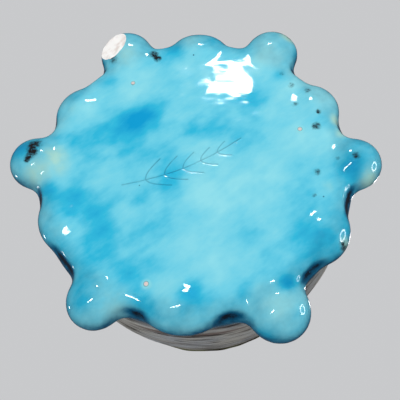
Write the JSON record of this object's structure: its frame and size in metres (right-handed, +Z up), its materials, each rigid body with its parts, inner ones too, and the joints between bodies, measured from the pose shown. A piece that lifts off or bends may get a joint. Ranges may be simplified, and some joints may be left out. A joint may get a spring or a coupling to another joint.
{
  "type": "footed pottery pot",
  "caption": "Round hand-built pottery pot with a turquoise glazed underside, bulging knob feet, scallops between them and a brushed wall.",
  "frame": {"origin": "the middle of the pot's box at the level of the surface it stands on, with the pot upright on its knob feet", "axes": "+Z up out of the pot's mouth; +X towards foot_knob_1; -Y is the side that lies lowest when the underside is looked at"},
  "size_m": [0.1672, 0.1532, 0.1076],
  "materials": {
    "turquoise_glaze": "gloss",
    "brushed_slip": "satin",
    "inside_glaze": "gloss",
    "rim_glaze": "gloss"
  },
  "bodies": {
    "root": {"base_slab": "turquoise_glaze", "wall": "brushed_slip", "seam_coil": "inside_glaze", "rim_coil": "rim_glaze", "foot_knob_1": "turquoise_glaze", "foot_knob_2": "turquoise_glaze", "foot_knob_3": "turquoise_glaze", "foot_knob_4": "turquoise_glaze", "foot_knob_5": "turquoise_glaze", "foot_knob_6": "turquoise_glaze", "edge_scallop_1": "turquoise_glaze", "edge_scallop_2": "turquoise_glaze", "edge_scallop_3": "turquoise_glaze", "edge_scallop_4": "turquoise_glaze", "edge_scallop_5": "turquoise_glaze", "edge_scallop_6": "turquoise_glaze"}
  },
  "joints": []
}
